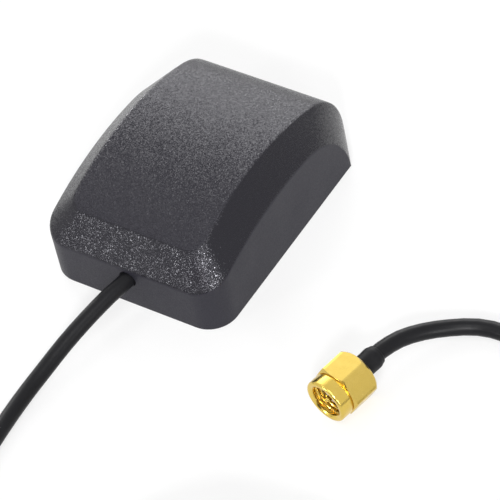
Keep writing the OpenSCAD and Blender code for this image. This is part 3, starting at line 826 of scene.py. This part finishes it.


# The housing's three finishes, which sparkle on the roof and bevels and are satin on the walls,
# and the plainer one of its cover. The bevels' copy of the grained ABS is coloured darker than
# the roof's, as painted shade
roofAbs = sparkAbs("roofAbs", "#141318", "#1f1e25", grain=0.13, tilt=0.45, depth=0.008,
                   glint=0.14, rough=0.42)
# Same ABS as the roof, coloured darker as painted shade on the bevels
bevelAbsPaintedShade = sparkAbs("bevelAbsPaintedShade", "#0a090e", "#141319", grain=0.12, tilt=0.4, depth=0.006,
                    glint=0.13, rough=0.35)
satinAbs = sparkAbs("satinAbs", "#15141b", "#1c1b23", grain=0.12, tilt=0.12, depth=0.003,
                    glint=0.44, rough=0.54)
coverAbs = sparkAbs("coverAbs", "#222225", "#2b2b2e", grain=0.2, tilt=0.2, depth=0.008,
                    glint=0.4, rough=0.5)
blackPvc = jacketPvc()

# Brass turned and gold plated: pale warm yellow, bright, ringed where the tool ran; the hex is
# drawn bar, so its flats are softer and plain, and what lies deeper in the plug is smoother.
# The flats' gold is coloured a little darker than the rest, as painted shade
goldPlate = turnedMetal("goldPlate", "#d4b552", "#e0c468", rough=0.16, rings=0.21713)
# Same gold as the plate, coloured a little darker on the flats as painted shade
goldFlatsPaintedShade = turnedMetal("goldFlatsPaintedShade", "#ccb054", "#d8bc66", rough=0.2)
goldSmooth = turnedMetal("goldSmooth", "#d4b552", "#e0c468", rough=0.12)

# Steel, barrel plated: nickel is warm and mirror-like, zinc bluish with a soft gleam
nickelPlate = turnedMetal("nickelPlate", "#b3b0a6", "#c6c3ba", rough=0.16)
zincPlate = turnedMetal("zincPlate", "#aab0b8", "#bcc2c8", rough=0.3)

# Steel sheet, rolled and tinned: pale satin. Silver paste, fired on ceramic: pale and nearly
# matt. Solder that has flowed: bright.
tinnedSheet = turnedMetal("tinnedSheet", "#b8babd", "#cccdcf", rough=0.32)
firedSilver = turnedMetal("firedSilver", "#d8d7d2", "#e6e5e1", rough=0.42)
solderTin = turnedMetal("solderTin", "#b4b6ba", "#d0d1d4", rough=0.2)

# PTFE, machined: waxy off-white that light enters a little way
ptfe = plainSurface("ptfe", "#cdbdb2", "#ddd0c6", rough=0.4, IOR=1.38, Subsurface_Weight=0.2,
                    Subsurface_Scale=0.4 * mm)

# Polyolefin tube, shrunk: matt black with a skin like fine orange peel
shrinkTube = plainSurface("shrinkTube", "#0c0c0e", "#141417", rough=0.46, grain=0.7, depth=0.012,
                          IOR=1.5, Specular_IOR_Level=0.18)

# Silicone rubber, moulded: matt brick red
silicone = plainSurface("silicone", "#8c2a1e", "#a8402e", rough=0.55, grain=0.5, depth=0.004,
                        IOR=1.42)

# Glass-fibre board under solder mask: glossy green, slightly uneven
boardMask = plainSurface("boardMask", "#14562c", "#1d6b38", rough=0.28, grain=1.2, depth=0.01,
                         IOR=1.52)

# Ceramics, pressed and fired: matt beige for the patch, browner and smoother for small parts
patchCeramic = plainSurface("patchCeramic", "#b8a58c", "#cdbba3", rough=0.5, grain=0.25,
                            depth=0.01, IOR=1.7)
filterCeramic = plainSurface("filterCeramic", "#a08b5c", "#b8a374", rough=0.4, grain=0.2,
                             depth=0.004, IOR=1.6)

# Epoxy, moulded round the chips: matt near black
chipEpoxy = plainSurface("chipEpoxy", "#1a1a1b", "#262627", rough=0.55, grain=0.12, IOR=1.55)

# Acrylic foam tape: matt white with small pores. Polyethylene, foamed and extruded: smooth white.
foamTape = plainSurface("foamTape", "#dcdccf", "#ecece2", rough=0.8, grain=0.3, depth=0.03,
                        IOR=1.45)
foamedCore = plainSurface("foamedCore", "#dedbd0", "#eceae2", rough=0.4, grain=0.3, depth=0.004,
                          IOR=1.51)

# Bare copper braid and matt black nylon webbing, each with a painted highlight on its crossings
# and painted shade between its strands
copperBraid = wovenSurface("copperBraid", "#8a5e45", "#c79a80", rough=0.3, strand=0.1572,
                           metal=1.0)
nylonWebbing = wovenSurface("nylonWebbing", "#101011", "#232325", rough=0.7, strand=0.3143,
                            metal=0.0)

pieceMaterials = (
    (antennaCable, [blackPvc]), (housingShell, [satinAbs, bevelAbsPaintedShade, roofAbs]),
    (couplingNut, [goldPlate, goldFlatsPaintedShade]), (shrinkSleeve, [shrinkTube]),
    (coilStrap, [nylonWebbing]),
)
for piece, materials in pieceMaterials:
    for material in materials:
        piece.data.materials.append(material)

nodeMaterials = {
    "base_cover": coverAbs, "base_screws": zincPlate, "magnet_front": nickelPlate,
    "magnet_rear": nickelPlate, "amplifier_board": boardMask, "patch_ceramic": patchCeramic,
    "patch_silver": firedSilver, "patch_tape": foamTape, "feed_pin": solderTin,
    "shield_can": tinnedSheet, "first_amplifier": chipEpoxy, "second_amplifier": chipEpoxy,
    "band_filter": filterCeramic, "board_passives": filterCeramic, "cable_stop_ring": tinnedSheet,
    "cable_braid": copperBraid, "cable_core": foamedCore, "cable_wire": copperBraid,
    "solder_joints": solderTin, "plug_body": goldSmooth, "retaining_ring": goldSmooth,
    "plug_gasket": silicone, "plug_insulator": ptfe, "centre_contact": goldSmooth,
    "plug_braid": copperBraid, "plug_core": foamedCore, "crimp_ferrule": goldSmooth,
}
for node, material in nodeMaterials.items():
    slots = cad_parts[node].data.materials
    slots.clear()
    slots.append(material)
print("materials made")

# Floor, light and background

studio = {
    "floorSize": 3000,
    "floorDrop": 0.05,       # below the base, so that the two don't share a plane
    "floorColour": "#f4f4f4",
    "floorGlow": 0.65,       # share of plain white where the camera or a reflection sees it
    "brightSide": (-0.55, 0.76, 0.345),   # towards a wide soft light, behind and on the left
    "wideLight": 5.4,
    "wideEdge": 12,          # higher makes it narrower
    "wideFoot": (0.0, 0.3),  # its lower edge fades between these heights
    "roomLight": 0.36,
    # Name, place, size and power of each lamp; all aim at the middle of the base
    "lamps": [
        ("topLamp", (0.25, -0.3, 0.9), 0.5, 2.5),
        ("keyLamp", (0.44, -0.72, 0.53), 0.18, 5.6),
        ("frontLamp", (-0.46, -0.84, 0.28), 0.15, 1.7),
        ("overLamp", (-0.46, -0.2, 0.86), 0.25, 0.5),
        ("rightLamp", (0.85, -0.5, 0.25), 0.3, 4.0),
        ("leftLamp", (-0.84, 0.5, 0.2), 0.1, 2.0),
    ],
}


# One where the camera, a reflection or a clear material looks, and zero for light on the object
def seenDirectly(tree):
    rays = addNode(tree, "LightPath").outputs
    some = addNode(tree, "Math", {0: rays["Is Camera Ray"], 1: rays["Is Glossy Ray"]},
                   operation="MAXIMUM")
    more = addNode(tree, "Math", {0: some.outputs[0], 1: rays["Is Transmission Ray"]},
                   operation="MAXIMUM")
    return more.outputs[0]


def makeFloor(facts):
    half = facts["floorSize"] / 2
    corners = [(-half, -half), (half, -half), (half, half), (-half, half)]
    floor = newObject("floor", [(x, y, -facts["floorDrop"]) for x, y in corners], [(0, 1, 2, 3)])
    material = bpy.data.materials.new("paleFloor")
    material.use_nodes = True
    tree = material.node_tree
    surface = tree.nodes["Principled BSDF"]
    surface.inputs["Base Color"].default_value = colour(facts["floorColour"])
    surface.inputs["Roughness"].default_value = 0.9
    glow = addNode(tree, "Emission", {"Color": (1, 1, 1, 1), "Strength": 1.0})
    share = addNode(tree, "Math", {0: seenDirectly(tree), 1: facts["floorGlow"]},
                    operation="MULTIPLY")
    both = addNode(tree, "MixShader", {0: share.outputs[0], 1: surface.outputs[0],
                                       2: glow.outputs[0]})
    tree.links.new(both.outputs[0], tree.nodes["Material Output"].inputs["Surface"])
    floor.data.materials.append(material)


# Room light with the wide light in it; the background is at least plain white where it is seen
def makeWorld(facts):
    world = bpy.data.worlds.new("studioSky")
    world.use_nodes = True
    bpy.context.scene.world = world
    tree = world.node_tree
    place = addNode(tree, "TexCoord").outputs["Generated"]
    side = addNode(tree, "VectorMath", {0: place, 1: facts["brightSide"]},
                   operation="DOT_PRODUCT")
    part = ramp(tree, side.outputs["Value"], 0.0, 1.0, (0.0, 1.0))
    edge = addNode(tree, "Math", {0: part, 1: facts["wideEdge"]}, operation="POWER")
    up = addNode(tree, "SeparateXYZ", {"Vector": place})
    low, high = facts["wideFoot"]
    foot = addNode(tree, "MapRange", {"Value": up.outputs["Z"], "From Min": low,
                                      "From Max": high}, interpolation_type="SMOOTHSTEP")
    wide = addNode(tree, "Math", {0: edge.outputs[0], 1: foot.outputs[0]}, operation="MULTIPLY")
    level = addNode(tree, "Math", {0: wide.outputs[0], 1: facts["wideLight"],
                                   2: facts["roomLight"]}, operation="MULTIPLY_ADD").outputs[0]
    white = addNode(tree, "Math", {0: level, 1: 1.0}, operation="MAXIMUM").outputs[0]
    strength = addNode(tree, "Mix", {0: seenDirectly(tree), 2: level, 3: white},
                       data_type="FLOAT")
    tree.links.new(strength.outputs[0], tree.nodes["Background"].inputs["Strength"])
    tree.nodes["Background"].inputs["Color"].default_value = (1, 1, 1, 1)


def makeLamps(facts):
    for name, place, size, power in facts["lamps"]:
        data = bpy.data.lights.new(name, "AREA")
        data.shape = "DISK"
        data.size = size
        data.energy = power
        lamp = bpy.data.objects.new(name, data)
        bpy.context.scene.collection.objects.link(lamp)
        lamp.location = place
        lamp.rotation_euler = (-Vector(place)).to_track_quat("-Z", "Y").to_euler()


makeFloor(studio)
makeWorld(studio)
makeLamps(studio)
bpy.context.scene.view_settings.view_transform = "Standard"
print("studio made")
